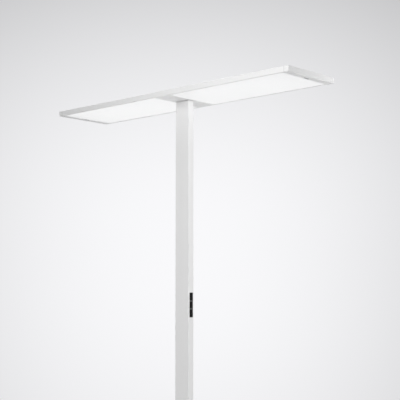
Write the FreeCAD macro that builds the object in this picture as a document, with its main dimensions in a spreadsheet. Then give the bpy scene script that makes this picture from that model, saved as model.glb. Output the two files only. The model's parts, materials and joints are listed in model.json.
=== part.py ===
import FreeCAD, Part
import os
import re
import Sketcher

# Free-standing office lamp in millimetres.  Z is up, the floor is z = 0, and the
# origin is under the middle of the column.  X runs along the lit head, and the
# three keys sit in the column's narrow +X face.  The rear of the lamp is +Y.

SIZES = [
    ("lamp_height", 1950, "floor to the top of the head"),
    ("base_length", 520, "base plate along X"),
    ("base_width", 340, "base plate along Y"),
    ("base_thickness", 10, "steel plate"),
    ("base_corner", 22, "corner radius of the plate, seen from above"),
    ("base_edge", 1.2, "bevel of the plate's upper edge"),
    ("glide_length", 60, "felt glides under the plate, along X"),
    ("glide_width", 20, "felt glides along Y"),
    ("glide_thickness", 3, "felt glides"),
    ("glide_inset", 24, "felt glides inside the plate's edges"),
    ("column_width", 70, "column along X"),
    ("column_depth", 28, "column along Y"),
    ("column_wall", 2.2, "wall of the extruded column"),
    ("column_corner", 3.5, "outer corner radius of the column"),
    ("bore_corner", 1.3, "inner corner radius of the column"),
    ("rib_thickness", 1.4, "guide ribs inside the column, along X"),
    ("rib_height", 1.6, "guide ribs inside the column, along Y"),
    ("slot_place", -11, "middle of the slot between the ribs"),
    ("slot_clearance", 0.15, "carrier strip to rib, each side"),
    ("spigot_clearance", 0.15, "foot and neck to the column's bore"),
    ("foot_height", 90, "column foot above the base plate"),
    ("channel_width", 18, "cord channel in the column foot, along X"),
    ("channel_depth", 14, "cord channel in the column foot, along Y"),
    ("gland_height", 30, "cord gland's axis above the base plate"),
    ("gland_bore", 3.6, "radius of the gland's bore"),
    ("gland_barrel", 6.2, "radius of the gland's barrel"),
    ("gland_flange", 8.4, "radius of the gland's flange"),
    ("flange_thickness", 2.5, "gland flange outside the column"),
    ("barrel_reach", 6, "gland barrel inside the column's wall"),
    ("nut_radius", 8.2, "corner radius of the gland nut"),
    ("nut_thickness", 3, "gland nut"),
    ("gland_clearance", 0.15, "barrel to the wall's hole and to the nut"),
    ("foot_screw", 3, "shank radius of the screws under the plate"),
    ("foot_screw_head", 5.5, "head radius of the screws under the plate"),
    ("foot_screw_rise", 2.4, "head height of the screws under the plate"),
    ("foot_screw_length", 30, "screws under the plate"),
    ("foot_screw_socket", 2.8, "corner radius of the sockets under the plate"),
    ("screw_place", 24, "screw axes from the column's middle, along X"),
    ("wall_screw", 2, "shank radius of the screws in the rear wall"),
    ("wall_screw_head", 3.8, "head radius of the screws in the rear wall"),
    ("wall_screw_rise", 2.2, "head height of the screws in the rear wall"),
    ("wall_screw_length", 11, "screws in the rear wall"),
    ("wall_screw_socket", 1.4, "corner radius of the sockets in the rear wall"),
    ("foot_screw_level", 66, "rear screws above the base plate"),
    ("neck_screw_level", 20, "rear screws below the column's top"),
    ("screw_clearance", 0.1, "shank to hole, radially"),
    ("socket_depth", 1.4, "hexagon sockets in the screw heads"),
    ("neck_gap", 3, "shadow gap between the column and the head"),
    ("neck_insert", 50, "neck inside the column"),
    ("neck_inset", 4, "neck's waist inside the column's outline"),
    ("passage_length", 16, "lead passage in the neck, along X"),
    ("passage_width", 11, "lead passage in the neck, along Y"),
    ("neck_screw", 3, "shank radius of the screws into the neck"),
    ("neck_screw_head", 5, "head radius of the screws into the neck"),
    ("neck_screw_rise", 4, "head height of the screws into the neck"),
    ("neck_screw_length", 26, "screws into the neck"),
    ("neck_screw_socket", 2.8, "corner radius of the sockets in the neck screws"),
    ("neck_screw_place", 21, "neck screws from the middle, along X"),
    ("head_length", 1200, "head along X"),
    ("head_width", 260, "head along Y"),
    ("head_thickness", 20, "head along Z"),
    ("rail_wall", 2, "web of the side rails"),
    ("rail_edge", 0.8, "rounding of the rails' outer edges"),
    ("lip_depth", 7, "bottom lip of the rails, with the web"),
    ("lip_thickness", 1.5, "bottom lip of the rails"),
    ("ledge_depth", 8, "middle ledge of the rails, with the web"),
    ("top_ledge_depth", 10, "top ledge of the rails, with the web"),
    ("ledge_thickness", 1.5, "middle and top ledges of the rails"),
    ("cover_thickness", 1.5, "top cover sheet"),
    ("fit_gap", 0.2, "play of the plates between the rails"),
    ("bridge_length", 80, "plain band in the middle of the head"),
    ("cap_length", 20, "end caps along X, seen from the side"),
    ("strip_length", 30, "plain strip under each end of the head"),
    ("cap_wall", 3, "end wall of the caps"),
    ("cap_screen", 1.5, "upright screen at the strip's inner edge"),
    ("step_height", 3, "shadow step under the end faces"),
    ("step_depth", 2, "shadow step under the end faces"),
    ("key_bar_reach", 35, "corner keys inside the rails"),
    ("diffuser_thickness", 2, "opal diffusers"),
    ("guide_thickness", 4, "light guides"),
    ("reflector_thickness", 0.5, "reflector sheets"),
    ("back_thickness", 1.5, "back plates"),
    ("strip_board", 1.2, "LED strips, along Y"),
    ("led_rise", 0.5, "LEDs above their boards"),
    ("led_size", 3, "LEDs, square"),
    ("led_gap", 0.1, "LEDs to the light guide's edge"),
    ("strip_inset", 10, "LED strips from the light guide's ends"),
    ("strip_leds", 12, "LEDs on each strip"),
    ("uplight_start", 90, "uplight window from the middle, along X"),
    ("uplight_margin", 60, "uplight window to the rails' ends"),
    ("uplight_width", 160, "uplight window along Y"),
    ("window_margin", 10, "pane beyond the window's edge"),
    ("window_thickness", 2, "uplight panes"),
    ("uplight_board", 1.6, "uplight LED boards"),
    ("uplight_board_width", 30, "uplight LED boards along Y"),
    ("uplight_board_place", 50, "uplight boards from the middle, along Y"),
    ("uplight_leds", 8, "LEDs on each uplight board"),
    ("lens_length", 26, "sensor window along Y"),
    ("lens_width", 7, "sensor window along X"),
    ("lens_corner", 3, "sensor window's corner radius"),
    ("lens_play", 0.2, "sensor lens in its window"),
    ("lens_proud", 0.5, "sensor lens below the strip"),
    ("lens_flange", 1.2, "sensor flange inside the strip, thickness"),
    ("lens_rim", 1, "sensor flange beyond the window"),
    ("lens_barrel", 5.3, "sensor barrel above its flange"),
    ("lens_inset", 5, "sensor's middle from the screen"),
    ("sensor_board_length", 32, "sensor board along Y"),
    ("sensor_board_width", 12, "sensor board along X"),
    ("board_thickness", 1.6, "circuit boards"),
    ("plug_length", 6, "plug sockets on the sensor boards, along X"),
    ("plug_width", 8, "plug sockets along Y"),
    ("plug_height", 2.8, "plug sockets on the sensor boards"),
    ("ribbon_width", 3, "flat sensor leads along Y"),
    ("ribbon_thickness", 1, "flat sensor leads"),
    ("ribbon_place", 7, "flat sensor leads from the middle, along Y"),
    ("terminal_length", 26, "terminal block along X"),
    ("terminal_width", 18, "terminal block along Y"),
    ("terminal_height", 7.5, "terminal block"),
    ("head_lead", 3, "radius of the lead from the driver to the head"),
    ("driver_level", 330, "driver's lower end above the floor"),
    ("driver_height", 360, "driver along Z"),
    ("driver_width", 30, "driver along X"),
    ("driver_depth", 20, "driver along Y"),
    ("driver_end", 20, "terminal covers at the driver's ends"),
    ("driver_end_inset", 2, "terminal covers inside the driver's outline"),
    ("carrier_thickness", 1.5, "driver's carrier strip"),
    ("carrier_margin", 30, "carrier strip beyond the driver"),
    ("switch_level", 1153, "middle of the switch unit above the floor"),
    ("window_width", 16.4, "column's switch window along Y"),
    ("window_height", 91, "column's switch window along Z"),
    ("window_corner", 1.2, "corner radius of the switch window"),
    ("bezel_overlap", 0.4, "switch bezel beyond its window"),
    ("bezel_rise", 0.8, "switch bezel outside the column"),
    ("bezel_plate", 2, "front plate of the switch housing"),
    ("housing_depth", 11.6, "switch housing inside the column's face"),
    ("housing_play", 0.15, "switch housing in its window"),
    ("housing_wall", 0.6, "side walls of the switch housing"),
    ("housing_end", 1.9, "end walls of the switch housing"),
    ("housing_bar", 1.6, "bars between the keys"),
    ("key_frame", 1.8, "bezel beside the keys"),
    ("key_play", 0.2, "key in its opening"),
    ("key_rise", 0.7, "keys above the bezel"),
    ("key_edge", 0.4, "rounding of the keys' front edges"),
    ("key_lip", 1.5, "retaining lip of the keys, along X"),
    ("key_lip_gap", 0.1, "retaining lip to the front plate"),
    ("board_play", 0.1, "switch board in its recess, along X"),
    ("stem_side", 3, "key stems, square"),
    ("stem_entry", 1.3, "key stems inside the switches"),
    ("switch_size", 6, "switches on the board, square"),
    ("switch_rise", 3.4, "switches above the board"),
    ("switch_floor", 0.8, "bottom of the switches' wells"),
    ("well_play", 0.3, "stem to the switch's well"),
    ("light_radius", 0.9, "status light in the middle key"),
    ("light_depth", 2, "status light in the middle key"),
    ("light_play", 0.1, "status light in its hole"),
    ("light_drop", 8, "status light below the middle of its key"),
    ("hook_rise", 0.8, "snap hooks behind the column's wall"),
    ("hook_length", 3, "snap hooks along X"),
    ("hook_width", 8, "snap hooks along Y"),
    ("socket_length", 9.4, "lead socket on the switch board, along X"),
    ("socket_height", 8, "lead socket on the switch board, along Z"),
    ("socket_margin", 4, "lead socket from the board's lower end"),
    ("switch_lead", 1.5, "radius of the switch lead"),
]

doc = FreeCAD.newDocument("office_floor_lamp")
sheet = doc.addObject("Spreadsheet::Sheet", "sizes")
for row, (alias, value, note) in enumerate(SIZES, start=1):
    sheet.set("A%d" % row, alias)
    sheet.set("B%d" % row, str(value))
    sheet.setAlias("B%d" % row, alias)
    sheet.set("C%d" % row, note)
doc.recompute()
ALIASES = {alias for alias, value, note in SIZES}
WORD = re.compile(r"[a-z][a-z_]*")

# Levels and faces that several pieces share, as expressions of the sizes.
plate_top = "(glide_thickness + base_thickness)"
under = "(lamp_height - head_thickness)"
column_top = "(%s - neck_gap)" % under
bore_x = "(column_width / 2 - column_wall)"
bore_y = "(column_depth / 2 - column_wall)"
spigot_x = "(%s - spigot_clearance)" % bore_x
spigot_y = "(%s - spigot_clearance)" % bore_y
notch = "(carrier_thickness / 2 + slot_clearance + rib_thickness + spigot_clearance)"
face = "(column_width / 2)"
web = "(head_width / 2 - rail_wall)"
lip_edge = "(head_width / 2 - lip_depth)"
lip_top = "(%s + lip_thickness)" % under
guide_low = "(%s + diffuser_thickness)" % lip_top
reflector_low = "(%s + guide_thickness)" % guide_low
back_low = "(%s + reflector_thickness)" % reflector_low
back_top = "(%s + back_thickness)" % back_low
ledge_top = "(%s + ledge_thickness)" % back_top
cover_low = "(lamp_height - cover_thickness)"
rail_end = "(head_length / 2 - cap_length)"
strip_edge = "(head_length / 2 - strip_length)"
optic_start = "(bridge_length / 2 + fit_gap)"
optic_end = "(%s - fit_gap)" % strip_edge
optic_edge = "(%s - fit_gap)" % web
uplight_end = "(%s - uplight_margin)" % rail_end
guide_edge = "(%s - strip_board - led_rise - led_gap)" % optic_edge
lens_x = "(%s + cap_screen + lens_inset)" % strip_edge
board_low = "(%s + lens_flange + lens_barrel)" % lip_top
driver_x = "(slot_place + carrier_thickness / 2)"
board_front = "(%s - housing_depth + board_play + board_thickness)" % face
plate_back = "(%s + bezel_rise - bezel_plate)" % face
key_pitch = "((window_height - 2 * housing_play - 2 * housing_end + housing_bar) / 3)"
key_span = "(%s - housing_bar)" % key_pitch
opening_y = "(window_width / 2 + bezel_overlap - key_frame)"
sleeve_y = "(window_width / 2 - housing_play)"
sleeve_z = "(window_height / 2 - housing_play)"
socket_x = "(%s - board_thickness - socket_length)" % board_front
lead_x = "(%s + switch_lead + 1)" % socket_x


# ---------------------------------------------------------------- helpers

def sized(text):
    """The expression with every named size read from the sheet."""
    return WORD.sub(lambda word: "sizes." + word.group() if word.group() in ALIASES else word.group(),
                    text)


def bind(target, name, text):
    target.setExpression(name, sized(text))


def worth(text):
    """The expression's value in millimetres, as the sheet stands now."""
    return float(sheet.evalExpression(text))


def add(kind, name):
    return doc.addObject(kind, name)


def place(solid, x, y, z):
    for axis, text in zip("xyz", (x, y, z)):
        bind(solid, "Placement.Base." + axis, text)


def box(name, x_span, y_span, z_span):
    """A block between two expressions on each axis."""
    solid = add("Part::Box", name)
    spans = (x_span, y_span, z_span)
    for side, (low, high) in zip(("Length", "Width", "Height"), spans):
        bind(solid, side, "(%s) - (%s)" % (high, low))
    place(solid, *[low for low, high in spans])
    return solid


TURNS = {
    "+X": FreeCAD.Rotation(FreeCAD.Vector(0, 1, 0), 90),
    "+Y": FreeCAD.Rotation(FreeCAD.Vector(1, 0, 0), -90),
    "-Y": FreeCAD.Rotation(FreeCAD.Vector(1, 0, 0), 90),
    "+Z": FreeCAD.Rotation(),
    "-Z": FreeCAD.Rotation(FreeCAD.Vector(1, 0, 0), 180),
}


def cylinder(name, radius, start, length, way="+Z"):
    solid = add("Part::Cylinder", name)
    solid.Placement = FreeCAD.Placement(FreeCAD.Vector(), TURNS[way])
    bind(solid, "Radius", radius)
    bind(solid, "Height", length)
    place(solid, *start)
    return solid


def hexagon(name, radius, start, length, way):
    solid = add("Part::Prism", name)
    solid.Polygon = 6
    solid.Placement = FreeCAD.Placement(FreeCAD.Vector(), TURNS[way])
    bind(solid, "Circumradius", radius)
    bind(solid, "Height", length)
    place(solid, *start)
    return solid


def cut(name, base, tool):
    solid = add("Part::Cut", name)
    solid.Base = base
    solid.Tool = tool
    return solid


def fuse(name, pieces):
    solid = add("Part::MultiFuse", name)
    solid.Shapes = pieces
    return solid


def group(name, pieces):
    """Separate solids that share one node."""
    solids = add("Part::Compound", name)
    solids.Links = pieces
    return solids


def mirrored(name, source, normal):
    """The same piece on the other side of the lamp's middle plane."""
    twin = add("Part::Mirroring", name)
    twin.Source = source
    twin.Normal = normal
    return twin


ACROSS_X = FreeCAD.Vector(1, 0, 0)
ACROSS_Y = FreeCAD.Vector(0, 1, 0)


def body_of(name):
    return add("PartDesign::Body", name)


def sketch_on(body, plane, name, offset="0", level="0"):
    """A sketch on one of the body's origin planes, moved along its normal."""
    sketch = body.newObject("Sketcher::SketchObject", name)
    role = [feature for feature in body.Origin.OriginFeatures if feature.Role == plane][0]
    sketch.AttachmentSupport = [(role, "")]
    sketch.MapMode = "FlatFace"
    bind(sketch, "AttachmentOffset.Base.z", offset)
    bind(sketch, "AttachmentOffset.Base.y", level)
    return sketch


def hold(sketch, kind, item, point, text):
    number = sketch.addConstraint(Sketcher.Constraint(kind, -1, 1, item, point, worth(text)))
    sketch.setExpression("Constraints[%d]" % number, sized(text))


def outline(sketch, points):
    """A closed outline whose corners are each held by two expressions."""
    corners = [FreeCAD.Vector(worth(x), worth(y), 0) for x, y in points]
    first = sketch.GeometryCount
    count = len(corners)
    for index in range(count):
        side = Part.LineSegment(corners[index], corners[(index + 1) % count])
        sketch.addGeometry(side, False)
    for index in range(count):
        after = first + (index + 1) % count
        sketch.addConstraint(Sketcher.Constraint("Coincident", first + index, 2, after, 1))
        hold(sketch, "DistanceX", first + index, 1, points[index][0])
        hold(sketch, "DistanceY", first + index, 1, points[index][1])


def rectangle(sketch, x_span, y_span):
    (left, right), (low, high) = x_span, y_span
    outline(sketch, [(left, low), (right, low), (right, high), (left, high)])


def circle(sketch, x, y, radius):
    centre = FreeCAD.Vector(worth(x), worth(y), 0)
    ring = sketch.addGeometry(Part.Circle(centre, FreeCAD.Vector(0, 0, 1), worth(radius)), False)
    hold(sketch, "DistanceX", ring, 3, x)
    hold(sketch, "DistanceY", ring, 3, y)
    number = sketch.addConstraint(Sketcher.Constraint("Radius", ring, worth(radius)))
    sketch.setExpression("Constraints[%d]" % number, sized(radius))


def pad(body, name, sketch, length, backwards=False):
    feature = body.newObject("PartDesign::Pad", name)
    feature.Profile = sketch
    bind(feature, "Length", length)
    feature.Reversed = backwards
    doc.recompute()
    return feature


def pocket(body, name, sketch, length, backwards=False):
    """A cut that must take something away from the body."""
    before = body.Tip.Shape.Volume
    feature = body.newObject("PartDesign::Pocket", name)
    feature.Profile = sketch
    bind(feature, "Length", length)
    feature.Reversed = backwards
    doc.recompute()
    if not feature.Shape.Volume < before - 0.01:
        raise ValueError("%s takes nothing away" % name)
    return feature


def edges_of(feature, keep):
    return ["Edge%d" % number for number, edge in enumerate(feature.Shape.Edges, start=1)
            if keep(edge)]


def dressed(body, kind, name, keep, size):
    """A fillet or chamfer on the tip's edges that keep() picks."""
    base = body.Tip
    edges = edges_of(base, keep)
    if not edges:
        raise ValueError("%s finds no edge" % name)
    feature = body.newObject("PartDesign::" + kind, name)
    feature.Base = (base, edges)
    bind(feature, "Radius" if kind == "Fillet" else "Size", size)
    doc.recompute()
    return feature


def near(first, second):
    return abs(first - second) < 0.001


def span_of(edge, axis):
    bounds = edge.BoundBox
    return {"x": (bounds.XMin, bounds.XMax), "y": (bounds.YMin, bounds.YMax),
            "z": (bounds.ZMin, bounds.ZMax)}[axis]


def lies_at(edge, axis, *levels):
    """True where the edge lies in a plane at one of the levels, or at its mirror."""
    low, high = span_of(edge, axis)
    return near(low, high) and any(near(abs(low), abs(level)) for level in levels)


def runs_along(edge, axis):
    low, high = span_of(edge, axis)
    others = [span_of(edge, other) for other in "xyz" if other != axis]
    return high - low > 0.01 and all(near(first, last) for first, last in others)


def screws(kind, starts, way):
    """A node of equal cap screws, sized by the names that begin with their kind.
    Each start lies on the axis where the head bears, and way points to the tip."""
    axis, sign = "XYZ".index(way[1]), int(way[0] + "1")
    pieces = []
    for number, start in enumerate(starts):
        name = "%s_%d" % (kind, number)
        outside = list(start)
        outside[axis] = "(%s) - (%d) * %s_rise" % (start[axis], sign, kind)
        shaft = cylinder(name + "_shank", kind, start, kind + "_length", way)
        top = cylinder(name + "_head", kind + "_head", outside, kind + "_rise", way)
        socket = hexagon(name + "_socket", kind + "_socket", outside, "socket_depth", way)
        pieces.append(cut(name + "_solid", fuse(name + "_blank", [shaft, top]), socket))
    return group(kind + "_set", pieces)


PARTS = []


def part(label, solid):
    """Names a finished sub-part, which is written under its label."""
    solid.Label = label
    PARTS.append((label, solid))
    return solid


def rounded_corners(body, name, half_x, half_y, radius):
    """Rounds the four upright corners at half_x, half_y from the middle."""
    x, y = worth(half_x), worth(half_y)
    dressed(body, "Fillet", name,
            lambda edge: runs_along(edge, "z") and lies_at(edge, "x", x) and lies_at(edge, "y", y),
            radius)


def both(text):
    """The span from minus the expression to the expression."""
    return "-(%s)" % text, text


def mirrored_span(side, inner, outer):
    """The span from inner to outer on the side +1 or -1 of the middle."""
    return (inner, outer) if side > 0 else ("-" + outer, "-" + inner)


# ------------------------------------------------------------------- base

def base_plate():
    body = body_of("base_plate_body")
    sketch = sketch_on(body, "XY_Plane", "base_outline", "glide_thickness")
    rectangle(sketch, both("base_length / 2"), both("base_width / 2"))
    pad(body, "base_slab", sketch, "base_thickness")
    rounded_corners(body, "base_corners", "base_length / 2", "base_width / 2", "base_corner")
    top = worth(plate_top)
    dressed(body, "Chamfer", "base_rim", lambda edge: lies_at(edge, "z", top), "base_edge")
    holes = sketch_on(body, "XY_Plane", "base_holes", plate_top + " + 1")
    for side in ("-", ""):
        circle(holes, side + "screw_place", "0", "foot_screw + screw_clearance")
    pocket(body, "base_drilling", holes, "base_thickness + 2")
    part("base_plate", body)


def base_glides():
    glides = []
    for side_x in (1, -1):
        for side_y in (1, -1):
            x_span = mirrored_span(side_x, "(base_length / 2 - glide_inset - glide_length)",
                                   "(base_length / 2 - glide_inset)")
            y_span = mirrored_span(side_y, "(base_width / 2 - glide_inset - glide_width)",
                                   "(base_width / 2 - glide_inset)")
            glides.append(box("glide_%d" % len(glides), x_span, y_span, ("0", "glide_thickness")))
    part("base_glides", group("base_glide_set", glides))


def foot_screws():
    starts = [(side + "screw_place", "0", "glide_thickness") for side in ("-", "")]
    part("foot_screws", screws("foot_screw", starts, "+Z"))


# ----------------------------------------------------------------- column

def bore_outline(half_x, half_y, notch_low, notch_high, depth):
    """The bore's or spigot's section: a rectangle with a step on each long side."""
    inner = "(%s - (%s))" % (half_y, depth)
    return [("-" + half_x, "-" + half_y), (notch_low, "-" + half_y), (notch_low, "-" + inner),
            (notch_high, "-" + inner), (notch_high, "-" + half_y), (half_x, "-" + half_y),
            (half_x, half_y), (notch_high, half_y), (notch_high, inner),
            (notch_low, inner), (notch_low, half_y), ("-" + half_x, half_y)]


def rear_holes(body, name, holes, depth):
    """Round holes that run forwards from behind the rear face."""
    sketch = sketch_on(body, "XZ_Plane", name + "_places", "-(column_depth / 2 + 1)")
    for x, z, radius in holes:
        circle(sketch, x, z, radius)
    pocket(body, name, sketch, "(%s) + 1" % depth, backwards=True)


def column_profile():
    body = body_of("column_body")
    sketch = sketch_on(body, "XY_Plane", "column_outline", plate_top)
    rectangle(sketch, both(face), both("column_depth / 2"))
    pad(body, "column_bar", sketch, "%s - %s" % (column_top, plate_top))
    rounded_corners(body, "column_corners", face, "column_depth / 2", "column_corner")
    bore = sketch_on(body, "XY_Plane", "bore_outline", column_top + " + 1")
    rectangle(bore, both(bore_x), both(bore_y))
    pocket(body, "column_bore", bore, "lamp_height")
    rounded_corners(body, "bore_corners", bore_x, bore_y, "bore_corner")
    ribs = sketch_on(body, "XY_Plane", "rib_outline", plate_top)
    near_side = "(carrier_thickness / 2 + slot_clearance)"
    far_side = "(%s + rib_thickness)" % near_side
    bite = "(column_wall / 2)"
    for side in ("-", ""):
        y_span = (side + "(%s - rib_height)" % bore_y, side + "(%s + %s)" % (bore_y, bite))
        rectangle(ribs, ("slot_place - " + far_side, "slot_place - " + near_side), y_span)
        rectangle(ribs, ("slot_place + " + near_side, "slot_place + " + far_side), y_span)
    pad(body, "guide_ribs", ribs, "%s - %s" % (column_top, plate_top))
    window = sketch_on(body, "YZ_Plane", "window_outline", face + " + 1")
    half = "window_height / 2"
    rectangle(window, both("window_width / 2"), ("switch_level - " + half, "switch_level + " + half))
    pocket(body, "switch_window", window, "column_wall + 2")
    low, high = worth("switch_level - " + half), worth("switch_level + " + half)
    side = worth("window_width / 2")
    dressed(body, "Fillet", "window_corners",
            lambda edge: runs_along(edge, "x") and lies_at(edge, "z", low, high)
            and lies_at(edge, "y", side), "window_corner")
    holes = [("0", plate_top + " + gland_height", "gland_barrel + gland_clearance")]
    for side in ("-", ""):
        for level in (plate_top + " + foot_screw_level", column_top + " - neck_screw_level"):
            holes.append((side + "screw_place", level, "wall_screw + screw_clearance"))
    rear_holes(body, "rear_drilling", holes, "column_wall + 1")
    part("column_profile", body)


def spigot(body, low, high):
    """A block that fills the column's bore, notched for the guide ribs."""
    sketch = sketch_on(body, "XY_Plane", "spigot_outline", low)
    outline(sketch, bore_outline(spigot_x, spigot_y, "(slot_place - %s)" % notch,
                                 "(slot_place + %s)" % notch, "rib_height"))
    pad(body, "spigot_block", sketch, "(%s) - (%s)" % (high, low))
    rounded_corners(body, "spigot_corners", spigot_x, spigot_y, "bore_corner")


def column_foot():
    body = body_of("foot_body")
    spigot(body, plate_top, plate_top + " + foot_height")
    channel = sketch_on(body, "XY_Plane", "channel_outline", plate_top + " + foot_height + 1")
    rectangle(channel, both("channel_width / 2"), (bore_y + " - channel_depth", "column_depth"))
    pocket(body, "cord_channel", channel, "foot_height + 2")
    threads = sketch_on(body, "XY_Plane", "foot_threads", plate_top)
    for side in ("-", ""):
        circle(threads, side + "screw_place", "0", "foot_screw + screw_clearance")
    pocket(body, "foot_tapping", threads, "foot_screw_length", backwards=True)
    level = plate_top + " + foot_screw_level"
    rear_holes(body, "foot_cross_holes",
               [(side + "screw_place", level, "wall_screw + screw_clearance") for side in ("-", "")],
               "wall_screw_length + 1")
    part("column_foot", body)


def cord_gland():
    """A turned bush: flange outside the rear wall, barrel through it, bore for a cord."""
    body = body_of("gland_body")
    sketch = sketch_on(body, "YZ_Plane", "gland_section", "0", plate_top + " + gland_height")
    wall = "column_depth / 2"
    outside = wall + " + flange_thickness"
    inside = "%s - barrel_reach" % bore_y
    outline(sketch, [(outside, "gland_bore"), (outside, "gland_flange - flange_thickness / 2"),
                     (wall, "gland_flange"), (wall, "gland_barrel"),
                     (inside, "gland_barrel"), (inside, "gland_bore")])
    turn = body.newObject("PartDesign::Revolution", "gland_turning")
    turn.Profile = sketch
    turn.ReferenceAxis = (sketch, ["H_Axis"])
    turn.Angle = 360
    doc.recompute()
    part("cord_gland", body)
    centre = ("0", bore_y, plate_top + " + gland_height")
    blank = hexagon("nut_blank", "nut_radius", centre, "nut_thickness", "-Y")
    hole = cylinder("nut_hole", "gland_barrel + gland_clearance", centre, "nut_thickness", "-Y")
    part("gland_nut", cut("gland_nut_solid", blank, hole))


def column_screws():
    levels = (plate_top + " + foot_screw_level", column_top + " - neck_screw_level")
    starts = [(side + "screw_place", "column_depth / 2", level) for level in levels
              for side in ("-", "")]
    part("column_screws", screws("wall_screw", starts, "-Y"))


# ----------------------------------------------------------------- driver

def driver_unit():
    low = "driver_level - carrier_margin"
    high = "driver_level + driver_height + carrier_margin"
    strip = "carrier_thickness / 2"
    part("driver_carrier", box("carrier_strip", ("slot_place - " + strip, "slot_place + " + strip),
                               both(bore_y + " - slot_clearance"), (low, high)))
    part("driver_case", box("driver_block", (driver_x, driver_x + " + driver_width"),
                            both("driver_depth / 2"), ("driver_level", "driver_level + driver_height")))
    x_span = (driver_x + " + driver_end_inset", driver_x + " + driver_width - driver_end_inset / 2")
    y_span = both("driver_depth / 2 - driver_end_inset")
    top = "driver_level + driver_height"
    ends = [box("driver_end_low", x_span, y_span, ("driver_level - driver_end", "driver_level")),
            box("driver_end_high", x_span, y_span, (top, top + " + driver_end"))]
    part("driver_terminals", group("driver_end_set", ends))
    lead_low = top + " + driver_end"
    part("head_lead", cylinder("head_lead_tube", "head_lead", ("0", "0", lead_low),
                               "%s - (%s)" % (back_top, lead_low)))


# ------------------------------------------------------------ switch unit

def switch_housing():
    """Moulded box behind the column's window, with a bezel, bars and snap hooks."""
    body = body_of("housing_body")
    low_x = face + " - housing_depth"
    z_half = lambda text: ("switch_level - (%s)" % text, "switch_level + (%s)" % text)
    sleeve = sketch_on(body, "YZ_Plane", "sleeve_outline", low_x)
    rectangle(sleeve, both(sleeve_y), z_half(sleeve_z))
    pad(body, "sleeve", sleeve, "housing_depth")
    half_y, low_z, high_z = worth(sleeve_y), *[worth(text) for text in z_half(sleeve_z)]
    dressed(body, "Fillet", "sleeve_corners",
            lambda edge: runs_along(edge, "x") and lies_at(edge, "y", half_y)
            and lies_at(edge, "z", low_z, high_z), "window_corner")
    bezel = sketch_on(body, "YZ_Plane", "bezel_outline", face)
    rectangle(bezel, both("window_width / 2 + bezel_overlap"),
              z_half("window_height / 2 + bezel_overlap"))
    pad(body, "bezel", bezel, "bezel_rise")
    front = worth(face + " + bezel_rise")
    side = worth("window_width / 2 + bezel_overlap")
    dressed(body, "Fillet", "bezel_corners",
            lambda edge: runs_along(edge, "x") and lies_at(edge, "y", side), "window_corner")
    dressed(body, "Chamfer", "bezel_rim", lambda edge: lies_at(edge, "x", front), "bezel_rise / 3")
    board = sketch_on(body, "YZ_Plane", "board_recess_outline", low_x)
    rectangle(board, both(sleeve_y + " - housing_wall"), z_half(sleeve_z + " - housing_wall"))
    pocket(body, "board_recess", board, "board_thickness + board_play", backwards=True)
    wells = sketch_on(body, "YZ_Plane", "well_outlines", board_front)
    openings = sketch_on(body, "YZ_Plane", "opening_outlines", face + " + bezel_rise + 1")
    for step in (-1, 0, 1):
        centre = "(switch_level + (%d) * %s)" % (step, key_pitch)
        z_span = ("%s - %s / 2" % (centre, key_span), "%s + %s / 2" % (centre, key_span))
        rectangle(wells, both(sleeve_y + " - housing_wall"), z_span)
        rectangle(openings, both(opening_y), z_span)
    pocket(body, "key_wells", wells, "%s - %s" % (plate_back, board_front), backwards=True)
    pocket(body, "key_openings", openings, "bezel_plate + 2")
    hooks = sketch_on(body, "XZ_Plane", "hook_outlines", "-(hook_width / 2)")
    back = "(%s - column_wall - key_lip_gap)" % face
    for side in (-1, 1):
        root = "(switch_level + (%d) * (%s - housing_wall / 2))" % (side, sleeve_z)
        tip = "(switch_level + (%d) * (window_height / 2 + hook_rise))" % side
        outline(hooks, [(back, root), (back, tip), (back + " - hook_length", root)])
    pad(body, "snap_hooks", hooks, "hook_width")
    part("switch_housing", body)


def key(label, step, light):
    """One push key: cap, retaining lip behind the bezel and a stem into its switch."""
    body = body_of(label + "_body")
    centre = "(switch_level + (%d) * %s)" % (step, key_pitch)
    half_z = "(%s / 2 - key_play)" % key_span
    z_span = ("%s - %s" % (centre, half_z), "%s + %s" % (centre, half_z))
    lip_front = "(%s - key_lip_gap)" % plate_back
    front = "(%s + bezel_rise + key_rise)" % face
    cap = sketch_on(body, "YZ_Plane", label + "_cap_outline", lip_front)
    rectangle(cap, both(opening_y + " - key_play"), z_span)
    pad(body, label + "_cap", cap, "%s - %s" % (front, lip_front))
    outer = worth(front)
    dressed(body, "Fillet", label + "_cap_rim", lambda edge: lies_at(edge, "x", outer), "key_edge")
    lip = sketch_on(body, "YZ_Plane", label + "_lip_outline", lip_front + " - key_lip")
    rectangle(lip, both(sleeve_y + " - housing_wall - key_play"), z_span)
    pad(body, label + "_lip", lip, "key_lip")
    stem = sketch_on(body, "YZ_Plane", label + "_stem_outline", lip_front + " - key_lip / 2")
    rectangle(stem, both("stem_side / 2"), (centre + " - stem_side / 2", centre + " + stem_side / 2"))
    stem_tip = "(%s + switch_rise - stem_entry)" % board_front
    pad(body, label + "_stem", stem, "%s - key_lip / 2 - %s" % (lip_front, stem_tip), backwards=True)
    if light:
        hole = sketch_on(body, "YZ_Plane", label + "_light_place", front + " + 1")
        circle(hole, "0", centre + " - light_drop", "light_radius + light_play")
        pocket(body, label + "_light_hole", hole, "light_depth + 1")
    part(label, body)


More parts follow.
